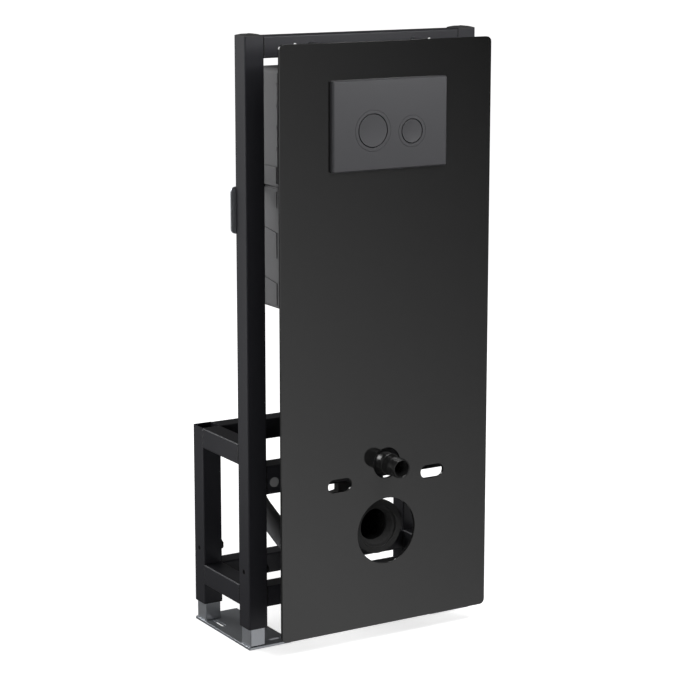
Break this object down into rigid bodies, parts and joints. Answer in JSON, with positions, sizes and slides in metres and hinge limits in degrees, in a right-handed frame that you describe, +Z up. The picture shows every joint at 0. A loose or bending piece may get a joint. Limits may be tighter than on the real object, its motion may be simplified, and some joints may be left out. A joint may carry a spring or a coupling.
{
  "type": "wall hung toilet frame with glass front panel",
  "caption": "Floor-standing steel frame with a tank, flush plate, waste bend and tall glass panel that carries a wall-hung toilet; slides in its feet set the height.",
  "frame": {"origin": "on the floor, in the middle of the part's width and depth", "axes": "+X right seen from the front, +Y back to the wall, +Z up"},
  "size_m": [0.518, 0.359, 1.1567],
  "materials": {
    "frame_steel": "black powder coat",
    "cap_plastic": "matt black",
    "galvanised": "galvanised",
    "bolt_steel": "blackened steel",
    "tank_plastic": "moulded grey, slight sheen",
    "flush_plastic": "gloss black",
    "seal_rubber": "black rubber",
    "waste_plastic": "gloss black",
    "grey_plastic": "grey, satin",
    "panel_glass": "black back-painted glass",
    "shaft_plastic": "matt dark grey",
    "plate_satin": "satin anthracite"
  },
  "bodies": {
    "frame": {"top_crossbar": "frame_steel", "mid_crossbar": "frame_steel", "lower_front_crossbar": "frame_steel", "rear_top_crossbar": "frame_steel", "rear_lower_crossbar": "frame_steel", "panel_spacers": "frame_steel", "left_post": "frame_steel", "left_rear_leg": "frame_steel", "left_upper_arm": "frame_steel", "left_lower_arm": "frame_steel", "right_post": "frame_steel", "right_rear_leg": "frame_steel", "right_upper_arm": "frame_steel", "right_lower_arm": "frame_steel", "left_post_cap": "cap_plastic", "right_post_cap": "cap_plastic", "waste_clamp": "cap_plastic", "left_wall_plate": "galvanised", "right_wall_plate": "galvanised", "left_lock_bolts": "bolt_steel", "left_cistern_hook": "bolt_steel", "right_lock_bolts": "bolt_steel", "right_cistern_hook": "bolt_steel", "cistern_lower": "tank_plastic", "cistern_upper": "tank_plastic", "flush_pipe": "flush_plastic", "flush_connector": "flush_plastic", "flush_seal": "seal_rubber", "waste_collar": "seal_rubber", "waste_bend": "waste_plastic", "inlet_pipe": "grey_plastic", "inlet_clip": "grey_plastic", "stud_plugs": "grey_plastic", "front_panel": "panel_glass", "access_shaft": "shaft_plastic", "plate_carrier": "shaft_plastic", "flush_plate": "plate_satin"},
    "left_foot": {"left_base_plate": "galvanised", "left_front_foot": "galvanised", "left_rear_foot": "galvanised"},
    "right_foot": {"right_base_plate": "galvanised", "right_front_foot": "galvanised", "right_rear_foot": "galvanised"},
    "large_button": {"large_button": "plate_satin"},
    "small_button": {"small_button": "plate_satin"}
  },
  "joints": [
    {"name": "large_button_press", "type": "slide", "parent": "frame", "child": "large_button", "axis": [0, 1, 0], "range_m": [0, 0.004], "stiffness_N_per_m": 900, "springref_m": -0.002},
    {"name": "small_button_press", "type": "slide", "parent": "frame", "child": "small_button", "axis": [0, 1, 0], "range_m": [0, 0.004], "stiffness_N_per_m": 900, "springref_m": -0.002},
    {"name": "left_foot_slide", "type": "slide", "parent": "frame", "child": "left_foot", "axis": [0, 0, -1], "range_m": [-0.03, 0.15]},
    {"name": "right_foot_slide", "type": "slide", "parent": "frame", "child": "right_foot", "axis": [0, 0, -1], "range_m": [-0.03, 0.15]}
  ]
}
